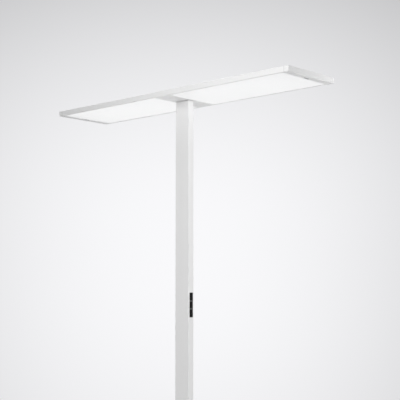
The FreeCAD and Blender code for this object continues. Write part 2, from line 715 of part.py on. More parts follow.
def switch_board():
    low_x = board_front + " - board_thickness"
    y_half = sleeve_y + " - housing_wall - key_play"
    z_half = "(%s - housing_wall - key_play)" % sleeve_z
    pieces = [box("board_sheet", (low_x, board_front), both(y_half),
                  ("switch_level - " + z_half, "switch_level + " + z_half))]
    wells = []
    top = board_front + " + switch_rise"
    half, well = "switch_size / 2", "(stem_side / 2 + well_play)"
    for step in (-1, 0, 1):
        centre = "(switch_level + (%d) * %s)" % (step, key_pitch)
        pieces.append(box("tact_%d" % (step + 1), (board_front, top), both(half),
                          ("%s - %s" % (centre, half), "%s + %s" % (centre, half))))
        wells.append(box("tact_well_%d" % (step + 1), (board_front + " + switch_floor", top + " + 1"),
                         both(well), ("%s - %s" % (centre, well), "%s + %s" % (centre, well))))
    socket_low = "switch_level - %s + socket_margin" % z_half
    pieces.append(box("lead_socket", (socket_x, low_x), both("socket_height / 2"),
                      (socket_low, socket_low + " + socket_height")))
    blank = fuse("board_blank", pieces)
    part("switch_board", cut("switch_board_solid", blank, group("tact_wells", wells)))
    lead_low = "driver_level + driver_height + driver_end"
    part("switch_lead", cylinder("switch_lead_tube", "switch_lead", (lead_x, "0", lead_low),
                                 "%s - (%s)" % (socket_low, lead_low)))


def status_light():
    front = face + " + bezel_rise + key_rise - light_depth"
    part("status_light", cylinder("status_light_rod", "light_radius",
                                  (front, "0", "switch_level - light_drop"), "light_depth", "+X"))


# ------------------------------------------------------------------- neck

def neck():
    body = body_of("neck_body")
    spigot(body, column_top + " - neck_insert", column_top)
    waist = sketch_on(body, "XY_Plane", "waist_outline", column_top)
    rectangle(waist, both(face + " - neck_inset"), both("column_depth / 2 - neck_inset"))
    pad(body, "waist", waist, "neck_gap + lip_thickness")
    passage = sketch_on(body, "XY_Plane", "passage_outline", lip_top + " + 1")
    rectangle(passage, both("passage_length / 2"), both("passage_width / 2"))
    pocket(body, "lead_passage", passage, "neck_insert + neck_gap + lip_thickness + 2")
    threads = sketch_on(body, "XY_Plane", "neck_threads", lip_top + " + 1")
    depth = "(neck_screw_length - (%s - %s))" % (back_top, lip_top)
    for side in ("-", ""):
        circle(threads, side + "neck_screw_place", "0", "neck_screw + screw_clearance")
    pocket(body, "neck_tapping", threads, depth + " + 2")
    level = column_top + " - neck_screw_level"
    rear_holes(body, "neck_cross_holes",
               [(side + "screw_place", level, "wall_screw + screw_clearance") for side in ("-", "")],
               "wall_screw_length + 1")
    part("neck", body)


def head_carrier():
    """The block that joins both rails over the neck, held in the rails' lower channel."""
    body = body_of("carrier_body")
    sketch = sketch_on(body, "XY_Plane", "carrier_outline", lip_top)
    rectangle(sketch, both("bridge_length / 2"), both(optic_edge))
    pad(body, "carrier_block", sketch, "%s - %s" % (back_top, lip_top))
    holes = sketch_on(body, "XY_Plane", "carrier_holes", back_top + " + 1")
    rectangle(holes, both("passage_length / 2"), both("passage_width / 2"))
    for side in ("-", ""):
        circle(holes, side + "neck_screw_place", "0", "neck_screw + screw_clearance")
    pocket(body, "carrier_drilling", holes, "%s - %s + 2" % (back_top, lip_top))
    part("head_carrier", body)


def neck_screws():
    starts = [(side + "neck_screw_place", "0", back_top) for side in ("-", "")]
    part("neck_screws", screws("neck_screw", starts, "-Z"))


def centre_bridge():
    """The plain band seen from below, pierced for the neck."""
    plate = box("bridge_sheet", both("bridge_length / 2"), both(lip_edge + " - fit_gap"),
                (under, lip_top))
    hole = box("bridge_hole", both(face + " - neck_inset + fit_gap"),
               both("column_depth / 2 - neck_inset + fit_gap"), (under + " - 1", lip_top + " + 1"))
    part("centre_bridge", cut("bridge_solid", plate, hole))


# ------------------------------------------------------------- head frame

def rails():
    """Extruded side rails: a web with a bottom lip, a middle ledge and a top ledge."""
    body = body_of("rail_body")
    sketch = sketch_on(body, "YZ_Plane", "rail_section", "-" + rail_end)
    outer = "-head_width / 2"
    inner = "-" + web
    ledge = "-(head_width / 2 - ledge_depth)"
    top_ledge = "-(head_width / 2 - top_ledge_depth)"
    outline(sketch, [(outer, under), ("-" + lip_edge, under), ("-" + lip_edge, lip_top),
                     (inner, lip_top), (inner, back_top), (ledge, back_top),
                     (ledge, ledge_top), (inner, ledge_top),
                     (inner, cover_low + " - ledge_thickness"),
                     (top_ledge, cover_low + " - ledge_thickness"), (top_ledge, cover_low),
                     (inner, cover_low), (inner, "lamp_height"), (outer, "lamp_height")])
    pad(body, "rail_bar", sketch, "2 * " + rail_end)
    side = worth("head_width / 2")
    dressed(body, "Fillet", "rail_edges",
            lambda edge: runs_along(edge, "x") and lies_at(edge, "y", side), "rail_edge")
    part("rail_front", body)
    part("rail_rear", mirrored("rail_rear_twin", body, ACROSS_Y))


def end_caps():
    """Hollow caps with the plain strip on the underside and the shadow step at the end."""
    body = body_of("cap_body")
    end = "head_length / 2"
    block = sketch_on(body, "YZ_Plane", "cap_outline", rail_end)
    rectangle(block, both("head_width / 2"), (under, "lamp_height"))
    pad(body, "cap_block", block, "cap_length")
    side, tip = worth("head_width / 2"), worth(end)
    low, high = worth(under), worth("lamp_height")
    dressed(body, "Fillet", "cap_edges",
            lambda edge: (runs_along(edge, "x") and lies_at(edge, "y", side))
            or (lies_at(edge, "x", tip) and (runs_along(edge, "z") or lies_at(edge, "z", high))),
            "rail_edge")
    hollow = sketch_on(body, "YZ_Plane", "cap_hollow_outline", rail_end)
    rectangle(hollow, both(web), (lip_top, cover_low))
    pocket(body, "cap_hollow", hollow, "cap_length - cap_wall", backwards=True)
    strip = sketch_on(body, "XY_Plane", "strip_outline", under)
    rectangle(strip, (strip_edge, rail_end + " + cap_wall"), both(lip_edge + " - fit_gap"))
    pad(body, "end_strip", strip, "lip_thickness")
    screen = sketch_on(body, "XY_Plane", "screen_outline", under)
    rectangle(screen, (strip_edge, strip_edge + " + cap_screen"), both(lip_edge + " - fit_gap"))
    pad(body, "end_screen", screen, "%s - %s" % (back_top, under))
    window = sketch_on(body, "XY_Plane", "sensor_window_outline", lip_top + " + 1")
    rectangle(window, (lens_x + " - lens_width / 2", lens_x + " + lens_width / 2"),
              both("lens_length / 2"))
    pocket(body, "sensor_window", window, "lip_thickness + 2")
    half = worth("lens_length / 2")
    dressed(body, "Fillet", "sensor_window_corners",
            lambda edge: runs_along(edge, "z") and lies_at(edge, "y", half), "lens_corner")
    step = sketch_on(body, "YZ_Plane", "step_outline", end + " + 1")
    rectangle(step, both("head_width"), (under + " - 1", under + " + step_height"))
    pocket(body, "shadow_step", step, "step_depth + 1")
    part("end_cap_right", body)
    part("end_cap_left", mirrored("end_cap_left_twin", body, ACROSS_X))


def corner_keys():
    """Bars in the rails' upper channels that reach into the end caps."""
    bars = []
    z_span = (ledge_top + " + fit_gap", cover_low + " - ledge_thickness - fit_gap")
    for side_x in (1, -1):
        for side_y in (1, -1):
            x_span = mirrored_span(side_x, "(%s - key_bar_reach)" % rail_end,
                                   "(head_length / 2 - cap_wall - fit_gap)")
            y_span = mirrored_span(side_y, "(head_width / 2 - ledge_depth + fit_gap)", optic_edge)
            bars.append(box("corner_bar_%d" % len(bars), x_span, y_span, z_span))
    part("corner_keys", group("corner_key_set", bars))


# ------------------------------------------------------------- head inside

def pair(label, right_solid):
    """The right-hand piece and its twin in the left half of the head."""
    part(label + "_right", right_solid)
    part(label + "_left", mirrored(label + "_left_twin", right_solid, ACROSS_X))


def optic_plates():
    x_span = (optic_start, optic_end)
    pair("diffuser", box("diffuser_sheet", x_span, both(optic_edge), (lip_top, guide_low)))
    pair("light_guide", box("guide_sheet", x_span, both(guide_edge), (guide_low, reflector_low)))
    pair("reflector", box("reflector_sheet", x_span, both(guide_edge), (reflector_low, back_low)))
    pair("back_plate", box("back_sheet", x_span, both(optic_edge), (back_low, back_top)))


def led_row(body, name, plane, offset, places, rise, backwards):
    """A row of square LEDs along X on a board's face."""
    start, length, level, count = places
    sketch = sketch_on(body, plane, name + "_first", offset)
    half = "led_size / 2"
    rectangle(sketch, (start + " - " + half, start + " + " + half),
              ("%s - %s" % (level, half), "%s + %s" % (level, half)))
    first = pad(body, name + "_led", sketch, rise, backwards)
    row = body.newObject("PartDesign::LinearPattern", name + "_row")
    row.Originals = [first]
    row.Direction = (sketch, ["H_Axis"])
    bind(row, "Length", length)
    bind(row, "Occurrences", count)
    body.Tip = row
    doc.recompute()


def led_strips():
    """Edge strips that stand against the rails' webs and shine into the light guides."""
    body = body_of("led_strip_body")
    start, stop = "(%s + strip_inset)" % optic_start, "(%s - strip_inset)" % optic_end
    board = sketch_on(body, "XZ_Plane", "led_strip_outline", optic_edge)
    rectangle(board, (start, stop), (guide_low + " + led_gap", back_low + " - led_gap"))
    pad(body, "led_strip_board", board, "strip_board", backwards=True)
    level = "(%s + guide_thickness / 2)" % guide_low
    places = ("(%s + led_size)" % start, "%s - %s - 2 * led_size" % (stop, start), level, "strip_leds")
    led_row(body, "edge", "XZ_Plane", optic_edge + " - strip_board", places, "led_rise", True)
    rear = mirrored("led_strip_rear", body, ACROSS_Y)
    pair("led_strips", group("led_strip_set", [body, rear]))


def uplight_boards():
    """Boards on the back plates that shine up through the windows in the cover."""
    body = body_of("uplight_body")
    low, high = "uplight_start", uplight_end
    half = "uplight_board_width / 2"
    board = sketch_on(body, "XY_Plane", "uplight_outline", back_top)
    rectangle(board, (low, high), ("uplight_board_place - " + half, "uplight_board_place + " + half))
    pad(body, "uplight_sheet", board, "uplight_board")
    places = (low + " + 3 * led_size", "%s - %s - 6 * led_size" % (high, low),
              "uplight_board_place", "uplight_leds")
    led_row(body, "uplight", "XY_Plane", back_top + " + uplight_board", places, "led_rise", False)
    twin = mirrored("uplight_twin", body, ACROSS_Y)
    pair("uplight_boards", group("uplight_board_set", [body, twin]))


def top_cover():
    body = body_of("cover_body")
    sketch = sketch_on(body, "XY_Plane", "cover_outline", cover_low)
    rectangle(sketch, both(rail_end + " - fit_gap"), both(optic_edge))
    pad(body, "cover_sheet", sketch, "cover_thickness")
    windows = sketch_on(body, "XY_Plane", "cover_windows", "lamp_height + 1")
    for side in (1, -1):
        rectangle(windows, mirrored_span(side, "uplight_start", uplight_end),
                  both("uplight_width / 2"))
    pocket(body, "window_openings", windows, "cover_thickness + 2")
    part("top_cover", body)


def uplight_windows():
    x_span = ("uplight_start - window_margin", uplight_end + " + window_margin")
    pair("uplight_window", box("uplight_pane", x_span, both("uplight_width / 2 + window_margin"),
                               (cover_low + " - window_thickness", cover_low)))


def sensors():
    """Sensor lenses in the end strips, their boards and the leads to the middle."""
    body = body_of("lens_body")
    steps = [("lens_face", under + " - lens_proud", "lens_proud + lip_thickness", "-lens_play"),
             ("lens_collar", lip_top, "lens_flange", "lens_rim"),
             ("lens_barrel_block", lip_top + " + lens_flange", "lens_barrel", "-lens_rim")]
    for name, low, height, grow in steps:
        sketch = sketch_on(body, "XY_Plane", name + "_outline", low)
        half_x = "(lens_width / 2 + (%s))" % grow
        half_y = "(lens_length / 2 + (%s))" % grow
        rectangle(sketch, ("%s - %s" % (lens_x, half_x), "%s + %s" % (lens_x, half_x)), both(half_y))
        pad(body, name, sketch, height)
        if name == "lens_face":
            line = worth(half_y)
            dressed(body, "Fillet", "lens_face_corners",
                    lambda edge: runs_along(edge, "z") and lies_at(edge, "y", line),
                    "lens_corner - lens_play")
    pair("sensor_lens", body)
    left = "(%s - lens_width / 2)" % lens_x
    plug_top = "%s + board_thickness + plug_height" % board_low
    sheet_box = box("sensor_board_sheet", (left, left + " + sensor_board_width"),
                    both("sensor_board_length / 2"), (board_low, board_low + " + board_thickness"))
    plug = box("sensor_plug", (left, left + " + plug_length"),
               ("ribbon_place - plug_width / 2", "ribbon_place + plug_width / 2"),
               (board_low + " + board_thickness", plug_top))
    pair("sensor_board", fuse("sensor_board_solid", [sheet_box, plug]))
    lead = box("sensor_ribbon", ("terminal_length / 2", left),
               ("ribbon_place - ribbon_width / 2", "ribbon_place + ribbon_width / 2"),
               (back_top, back_top + " + ribbon_thickness"))
    pair("sensor_lead", lead)
    part("terminal_block", box("terminal_body", both("terminal_length / 2"),
                               both("terminal_width / 2"), (back_top, back_top + " + terminal_height")))


# -------------------------------------------------------------- build all

base_plate()
base_glides()
foot_screws()
column_profile()
column_foot()
cord_gland()
column_screws()
driver_unit()
switch_housing()
key("key_up", 1, False)
key("key_mode", 0, True)
key("key_down", -1, False)
status_light()
switch_board()
neck()
head_carrier()
neck_screws()
centre_bridge()
rails()
end_caps()
corner_keys()
optic_plates()
led_strips()
uplight_boards()
top_cover()
uplight_windows()
sensors()
doc.recompute()

for item in doc.Objects:
    if "Invalid" in item.State or "Error" in item.State:
        raise RuntimeError("%s failed: %s" % (item.Name, item.State))
for label, solid in PARTS:
    if solid.Shape.isNull() or not solid.Shape.isValid() or not solid.Shape.Solids:
        raise RuntimeError("%s has no valid solid" % label)

os.makedirs("parts", exist_ok=True)
for label, solid in PARTS:
    solid.Shape.exportStep("parts/%s.step" % label)
print("%d sub-parts written" % len(PARTS))
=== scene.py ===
import json
import math

import bpy
import numpy as np
from mathutils import Matrix, Vector

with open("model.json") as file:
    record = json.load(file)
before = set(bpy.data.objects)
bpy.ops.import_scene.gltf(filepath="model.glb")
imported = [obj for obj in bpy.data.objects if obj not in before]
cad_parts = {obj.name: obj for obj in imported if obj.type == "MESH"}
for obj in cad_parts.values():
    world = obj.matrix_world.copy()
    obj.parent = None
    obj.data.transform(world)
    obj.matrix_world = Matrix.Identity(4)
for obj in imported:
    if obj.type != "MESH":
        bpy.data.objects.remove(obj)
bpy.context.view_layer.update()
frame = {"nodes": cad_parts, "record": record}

# A free-standing office lamp: a flat lit head on a slim column over a base plate.
# Metres; Z is up, X runs along the head and the keys face +X.

MM = 0.001
FULL_TURN = 2.0 * math.pi
BLACK = (0.0, 0.0, 0.0)

# ------------------------------------------------------------------ camera

IMAGE_SIDE = 400          # the picture is square, in pixels
FOCAL_PIXELS = 940.28     # fitted to the head's corners and the column
SENSOR = 36.0
CAMERA_PLACE = (2.461, -2.573, 1.202)
CAMERA_TURN = 42.778      # degrees about Z, 0 looks along +Y
CAMERA_RISE = 5.574       # degrees upwards
CAMERA_REACH = 60.0


def place_camera():
    """Sets up the camera from its turn t and rise r, and returns its sideways axis.

    It looks along (-sin t cos r, cos t cos r, sin r), and sideways is (cos t, sin t, 0).
    """
    turn, rise = math.radians(CAMERA_TURN), math.radians(CAMERA_RISE)
    forward = Vector((-math.sin(turn) * math.cos(rise), math.cos(turn) * math.cos(rise),
                      math.sin(rise)))
    sideways = Vector((math.cos(turn), math.sin(turn), 0.0))
    camera = bpy.data.objects.new("camera", bpy.data.cameras.new("camera"))
    camera.data.sensor_width = SENSOR
    camera.data.lens = FOCAL_PIXELS / IMAGE_SIDE * SENSOR
    camera.data.clip_end = CAMERA_REACH
    axes = Matrix((sideways, sideways.cross(forward), -forward)).transposed().to_4x4()
    camera.matrix_world = Matrix.Translation(CAMERA_PLACE) @ axes
    bpy.context.scene.collection.objects.link(camera)
    bpy.context.scene.camera = camera
    return sideways


# ----------------------------------------------------------------- shaders

class Wire:
    """A shader socket used as a number; each operator adds one Math node."""

    def __init__(self, finish, socket):
        self.finish = finish
        self.socket = socket

    def math(self, operation, *operands):
        return self.finish.node("ShaderNodeMath", {"operation": operation},
                                dict(enumerate(operands)))

    def __add__(self, other):
        return self.math("ADD", self, other)

    def __sub__(self, other):
        return self.math("SUBTRACT", self, other)

    def __rsub__(self, other):
        return self.math("SUBTRACT", other, self)

    def __mul__(self, other):
        return self.math("MULTIPLY", self, other)

    def __truediv__(self, other):
        return self.math("DIVIDE", self, other)

    def __pow__(self, other):
        return self.math("POWER", self, other)

    __radd__ = __add__
    __rmul__ = __mul__

    def size(self):
        return self.math("ABSOLUTE", self)

    def least(self, other):
        return self.math("MINIMUM", self, other)

    def most(self, other):
        return self.math("MAXIMUM", self, other)

    def above(self, other):
        return self.math("GREATER_THAN", self, other)

    def wave(self, pitch):
        """The sine of a distance, once round in each pitch."""
        return self.math("SINE", self * (FULL_TURN / pitch))

    def about(self, middle, spread):
        """A value from 0 to 1 laid out evenly about a middle."""
        return (self - 0.5) * spread + middle


class Finish:
    """A node tree: a material's around one shader, or the world's."""

    def __init__(self, tree):
        self.tree = tree
        tree.nodes.clear()

    def node(self, kind, settings=None, sockets=None, output=0):
        """Adds a node: its settings first, then the values or wires of its sockets."""
        node = self.tree.nodes.new(kind)
        for name, value in (settings or {}).items():
            setattr(node, name, value)
        for name, value in (sockets or {}).items():
            if isinstance(value, Wire):
                self.tree.links.new(value.socket, node.inputs[name])
            else:
                node.inputs[name].default_value = value
        return Wire(self, node.outputs[output]) if len(node.outputs) else None

    def outputs(self, kind, names, sockets=None):
        """Adds a node and returns several of its outputs."""
        first = self.node(kind, sockets=sockets)
        return [Wire(self, first.socket.node.outputs[name]) for name in names]

    def spot(self):
        """The object coordinates, in metres."""
        return self.node("ShaderNodeTexCoord", output="Object")

    def axes(self, spot):
        """The three parts of a vector."""
        return self.outputs("ShaderNodeSeparateXYZ", "XYZ", {0: spot})

    def noise(self, spot, size, detail=2.0, roughness=0.5):
        """Noise from 0 to 1 whose lumps are about size metres across."""
        return self.node("ShaderNodeTexNoise", sockets={
            "Vector": spot, "Scale": 1.0 / size, "Detail": detail, "Roughness": roughness})

    def cells(self, spot, size, feature="F1", output="Distance"):
        """Cells about size metres across, by distance to a centre or border, or by colour."""
        return self.node("ShaderNodeTexVoronoi", {"feature": feature},
                         {"Vector": spot, "Scale": 1.0 / size}, output=output)

    def stretched(self, spot, scale):
        """The coordinates multiplied along each axis."""
        return self.node("ShaderNodeMapping", sockets={"Vector": spot, "Scale": scale})

    def blend(self, factor, first, second):
        """The first colour at 0, the second at 1, and no further on either side."""
        return self.node("ShaderNodeMix", {"data_type": "RGBA"},
                         {0: factor, 6: rgba(first), 7: rgba(second)}, output=2)

    def relief(self, height, depth):
        """A normal bent by a height from 0 to 1 that stands for depth metres."""
        return self.node("ShaderNodeBump", sockets={"Height": height, "Distance": depth})

    def mixed(self, factor, first, second):
        """One shader over another."""
        return self.node("ShaderNodeMixShader", sockets={0: factor, 1: first, 2: second})


def rgba(colour):
    """A colour as a socket takes it: a wire as it is, three numbers with alpha 1."""
    return colour if isinstance(colour, Wire) else (*colour, 1.0)


def grey(level, warmth=0.0):
    """A near-neutral colour, a little warmer or cooler by the share of warmth."""
    return (level * (1.0 + warmth), level, level * (1.0 - warmth))


def shaded(colour, share):
    """A colour times a share, at most white."""
    return tuple(min(1.0, part * share) for part in colour)


def surface(finish, **sockets):
    """Closes a material with the Principled shader; base_color stands for Base Color."""
    names = {key.replace("_", " ").title().replace("Ior", "IOR"): value
             for key, value in sockets.items()}
    shader = finish.node("ShaderNodeBsdfPrincipled", sockets={
        key: rgba(value) if isinstance(value, tuple) else value for key, value in names.items()})
    finish.node("ShaderNodeOutputMaterial", sockets={"Surface": shader})


def new_finish(name):
    material = bpy.data.materials.new(name)
    material.use_nodes = True
    return material, Finish(material.node_tree)


# In the finishes, gloss is the roughness that the pattern varies, lump the grain's size and
# depth the height of the relief, both in metres.

GRAIN_GLOSS = 0.2         # how far the roughness varies with a plastic's grain


# ------------------------------------------------------------- coated metal

ALONG_X = (0.02, 1.0, 1.0)     # stretches a pattern into lines along X
ALONG_Z = (1.0, 1.0, 0.02)
DIE_LINE = 0.7 * MM
DIE_SHARE = 0.4                # of the relief; the rest is orange peel
CLOUD = 0.12                   # a hand's breadth
CLOUD_SHARE = 0.7              # of the tone; the rest follows the orange peel
COAT_TONES = (0.985, 1.01)     # the darkest and lightest places, as shares of the level
MOTE_PITCH = 40 * MM
MOTE_RADIUS = 0.25 * MM
MOTE_TONE = 0.6
SEAM_PLACE = 0.58              # where the end caps meet the rails, from the head's middle
SEAM_HALF = 0.6 * MM
SEAM_DEPTH = 0.15 * MM
# the grey of the painted shade in the seam's channel
SEAM_SHADE_LEVEL = 0.3
SWITCH_LEVEL = 1.153           # the keys' middle, where hands reach the column
SWITCH_REACH = 0.16
PEEL_GLOSS = 0.12              # how far the roughness varies with the peel, and under hands
HAND_GLOSS = 0.2


def powder_coat(name, level, gloss, lump, depth, drawn=None, seam=False):
    """White powder coat: orange peel, and faint die lines along a drawn profile.

    The tone drifts by one part in forty over a hand's breadth, and dark motes half a
    millimetre wide lie about 40 mm apart. A seam is a fine V-shaped channel in the relief:
    1 - (distance to it / half its width); its tone darkens there to a grey that is painted
    shade.
    """
    material, finish = new_finish(name)
    spot = finish.spot()
    x, _, z = finish.axes(spot)
    peel = finish.noise(spot, lump, detail=3.0)
    height = peel
    if drawn:
        lines = finish.noise(finish.stretched(spot, drawn), DIE_LINE, detail=1.0)
        height = peel * (1.0 - DIE_SHARE) + lines * DIE_SHARE
    cloud = finish.noise(spot, CLOUD)
    mote = 1.0 - finish.cells(spot, MOTE_PITCH).above(MOTE_RADIUS / MOTE_PITCH)
    tone = finish.blend(cloud * CLOUD_SHARE + peel * (1.0 - CLOUD_SHARE) - mote * MOTE_TONE,
                        *(grey(level * share) for share in COAT_TONES))
    if seam:
        # the seam is a real channel in the relief, and its dark grey tone is painted shade
        seam_channel_and_shade = (1.0 - (x.size() - SEAM_PLACE).size() / SEAM_HALF).most(0.0)
        tone = finish.blend(seam_channel_and_shade, tone, grey(SEAM_SHADE_LEVEL))
        height = height - seam_channel_and_shade * (SEAM_DEPTH / depth)
    handled = (1.0 - (z - SWITCH_LEVEL).size() / SWITCH_REACH).most(0.0)
    surface(finish, base_color=tone, normal=finish.relief(height, depth),
            roughness=peel.about(gloss, PEEL_GLOSS) + (cloud - 0.5) * handled * HAND_GLOSS,
            specular_ior_level=0.4)
    return material


# -------------------------------------------------------------- lit panels

PANEL_START = 0.05        # the panels' inner end, outer end and long edge
PANEL_END = 0.57
PANEL_EDGE = 0.127
PANEL_FADE = 0.25
PANEL_FALL = 0.06
PANEL_GLOW = 0.68
PANEL_WARMTH = -0.004
PRISM_PITCH = 2.5 * MM
PRISM_DEPTH = 0.15 * MM
PRISM_SHARE = 0.03        # of the glow
SOURCE_PITCH = 0.0428     # light sources along a strip
SWELL_REACH = 0.02
SWELL_SHARE = 0.03


def opal_panel(name, tone, gloss):
    """Edge-lit opal sheet over rows of fine pyramids.

    The pyramids are sin(x) * sin(y) with a 2.5 mm pitch. The glow falls with the square of
    the way into the last 250 mm before the panel's outer end. Beside each light source of
    the strips in the long edges it swells by a sine along x, times the square of the way
    into the last 20 mm before the edge.
    """
    material, finish = new_finish(name)
    x, y, _ = finish.axes(finish.spot())
    prisms = x.wave(PRISM_PITCH) * y.wave(PRISM_PITCH) * 0.5 + 0.5
    outer = (x.size() - (PANEL_END - PANEL_FADE)).most(0.0) / PANEL_FADE
    edge = ((y.size() - (PANEL_EDGE - SWELL_REACH)) / SWELL_REACH).most(0.0)
    swell = (x.size() - (PANEL_START + SOURCE_PITCH / 4.0)).wave(SOURCE_PITCH) * edge * edge
    glow = ((1.0 - outer * outer * PANEL_FALL) * (prisms * PRISM_SHARE + (1.0 - PRISM_SHARE))
            + swell * SWELL_SHARE)
    surface(finish, base_color=grey(tone), roughness=gloss, specular_ior_level=0.3,
            emission_color=finish.blend(glow, BLACK, grey(PANEL_GLOW, PANEL_WARMTH)),
            emission_strength=1.0, normal=finish.relief(prisms, PRISM_DEPTH))
    return material


UPLIGHT_ROW = 0.05        # the rows' distance from the middle line, and their light's reach
UPLIGHT_REACH = 0.045
UPLIGHT_START = 0.09
UPLIGHT_PITCH = 0.0537
UPLIGHT_RIPPLE = 0.13
UPLIGHT_SPOT = 0.4        # shares of the glow: over a light source, and everywhere
UPLIGHT_REST = 0.25
UPLIGHT_GLOW = 0.62
UPLIGHT_WARMTH = 0.01


def uplight_pane(name, tone, gloss, lump, depth):
    """Satin pane above two rows of light sources: a soft spot over each of them.

    Across a row the light is 1 - (distance / reach) ** 2, along it 0.87 + 0.13 * sin.
    """
    material, finish = new_finish(name)
    spot = finish.spot()
    x, y, _ = finish.axes(spot)
    across = (y.size() - UPLIGHT_ROW) / UPLIGHT_REACH
    row = (1.0 - across * across).most(0.0)
    along = ((x.size() - (UPLIGHT_START + UPLIGHT_PITCH / 4.0)).wave(UPLIGHT_PITCH)
             * UPLIGHT_RIPPLE + (1.0 - UPLIGHT_RIPPLE))
    grain = finish.noise(spot, lump, detail=3.0)
    glow = finish.blend(row * along * UPLIGHT_SPOT + UPLIGHT_REST,
                        BLACK, grey(UPLIGHT_GLOW, UPLIGHT_WARMTH))
    surface(finish, base_color=grey(tone), emission_color=glow, emission_strength=1.0,
            roughness=grain.about(gloss, GRAIN_GLOSS), normal=finish.relief(grain, depth))
    return material


# ---------------------------------------------------------------- plastics

FLOW_LUMP = 25 * MM
BAR_PLACE = 14.75 * MM    # the bars between the keys, from the middle key's middle
BAR_HALF = 0.8 * MM
BAR_LEVEL = 0.34
BAR_GLOSS = 0.15
RING_SHADE = 0.85


def eroded(finish, spot, lump):
    """The grain of a spark-eroded mould."""
    return finish.noise(spot, lump, detail=4.0, roughness=0.65)


def moulded(name, colour, gloss, lump, depth, spread=0.06, flow=None, **more):
    """Moulded plastic: a spark-eroded grain, and a slow drift of tone along the flow."""
    material, finish = new_finish(name)
    spot = finish.spot()
    grain = eroded(finish, spot, lump)
    drift = finish.noise(finish.stretched(spot, flow) if flow else spot, FLOW_LUMP)
    tone = finish.blend(grain * 0.5 + drift * 0.5,
                        shaded(colour, 1.0 - spread), shaded(colour, 1.0 + spread))
    surface(finish, base_color=tone, roughness=grain.about(gloss, GRAIN_GLOSS),
            normal=finish.relief(grain, depth), **more)
    return material


def switch_plastic(name, levels, gloss, lump, depth):
    """Black spark-eroded plastic whose two bars between the keys are satin grey."""
    material, finish = new_finish(name)
    spot = finish.spot()
    z = finish.axes(spot)[2]
    grain = eroded(finish, spot, lump)
    bars = 1.0 - ((z - SWITCH_LEVEL).size() - BAR_PLACE).size().above(BAR_HALF)
    black = finish.blend(grain, *(grey(level) for level in levels))
    surface(finish, base_color=finish.blend(bars, black, grey(BAR_LEVEL)),
            roughness=grain.about(gloss, GRAIN_GLOSS) - bars * BAR_GLOSS,
            specular_ior_level=0.15, normal=finish.relief(grain, depth))
    return material


def lens_rings(name, colour, gloss, pitch, depth, centre):
    """A lens with rings of the given pitch about (centre, 0) and its mirror image."""
    material, finish = new_finish(name)
    x, y, _ = finish.axes(finish.spot())
    aside = x.size() - centre
    rings = ((aside * aside + y * y) ** 0.5).wave(pitch) * 0.5 + 0.5
    surface(finish, base_color=finish.blend(rings, shaded(colour, RING_SHADE), colour),
            roughness=gloss, normal=finish.relief(rings, depth))
    return material


# ------------------------------------------------------------------ metals

DRAWN_LINE = 0.5 * MM
DRAWN_DEPTH = 0.02 * MM
DRAWN_SHARE = 0.6         # of the tone; the rest is oxide
DRAWN_GLOSS = 0.1
OXIDE_LUMP = 18 * MM
OXIDE_SHADE = 0.88
OXIDE_GLOSS = 0.2


def drawn_metal(name, colour, gloss, axis):
    """Mill-finished aluminium: die lines along the axis, and cloudy oxide."""
    material, finish = new_finish(name)
    spot = finish.spot()
    lines = finish.noise(finish.stretched(spot, axis), DRAWN_LINE, detail=3.0)
    oxide = finish.noise(spot, OXIDE_LUMP, detail=3.0)
    tone = finish.blend(lines * DRAWN_SHARE + oxide * (1.0 - DRAWN_SHARE),
                        shaded(colour, OXIDE_SHADE), colour)
    surface(finish, base_color=tone, metallic=1.0, normal=finish.relief(lines, DRAWN_DEPTH),
            roughness=oxide.about(gloss, OXIDE_GLOSS) + lines * DRAWN_GLOSS)
    return material


FLAKE = 1.5 * MM
FLAKE_DEPTH = 0.004 * MM
FLAKE_GREYS = ((0.5, 0.52, 0.56), (0.66, 0.67, 0.7))
HAZE = 8 * MM
HAZE_WARM = (0.68, 0.64, 0.52)
HAZE_START = 0.45         # the haze above which the tinge sets in, and its rise from there
HAZE_RISE = 1.2
FLAKE_GLOSS = 0.12
HAZE_GLOSS = 0.15


def zinc_plate(name, gloss):
    """Blue-passivated zinc: flakes of slightly different grey with a warm tinge in places."""
    material, finish = new_finish(name)
    spot = finish.spot()
    flakes = finish.axes(finish.cells(spot, FLAKE, output="Color"))[0]
    haze = finish.noise(spot, HAZE, detail=3.0)
    plate = finish.blend(flakes, *FLAKE_GREYS)
    tinge = (haze - HAZE_START).most(0.0) * HAZE_RISE
    surface(finish, base_color=finish.blend(tinge, plate, HAZE_WARM), metallic=1.0,
            roughness=flakes * FLAKE_GLOSS + haze * HAZE_GLOSS + gloss,
            normal=finish.relief(flakes, FLAKE_DEPTH))
    return material


# --------------------------------------------------------- boards and felt

MASK_GREENS = ((0.02, 0.16, 0.07), (0.05, 0.27, 0.12))   # over the board, over a track
TRACK_CELL = 4 * MM
TRACK_HALF = 0.12         # shares of a cell: half a track's width, and a pad's radius
PAD_CELL = 3 * MM
PAD_RADIUS = 0.16
PAD_TIN = (0.72, 0.72, 0.7)
PAD_GLOSS = 0.1


def circuit_board(name, gloss, depth):
    """Solder mask over copper tracks: a tone and a step where the cells' borders run."""
    material, finish = new_finish(name)
    spot = finish.spot()
    border = finish.cells(spot, TRACK_CELL, feature="DISTANCE_TO_EDGE")
    track = 1.0 - border.above(TRACK_HALF)
    pads = 1.0 - finish.cells(spot, PAD_CELL).above(PAD_RADIUS)
    mask = finish.blend(track, *MASK_GREENS)
    surface(finish, base_color=finish.blend(pads, mask, PAD_TIN), metallic=pads,
            roughness=pads * PAD_GLOSS + gloss, normal=finish.relief(track.most(pads), depth))
    return material


MASK_WHITES = ((0.86, 0.86, 0.83), (0.9, 0.9, 0.87))
WINDOW_PITCH = 6 * MM
WINDOW_EDGE = 0.55        # the sine above which a window lies
PHOSPHOR = (0.93, 0.82, 0.35)
PHOSPHOR_SHARE = 0.5
DUST = 2 * MM
DUST_GLOSS = 0.1


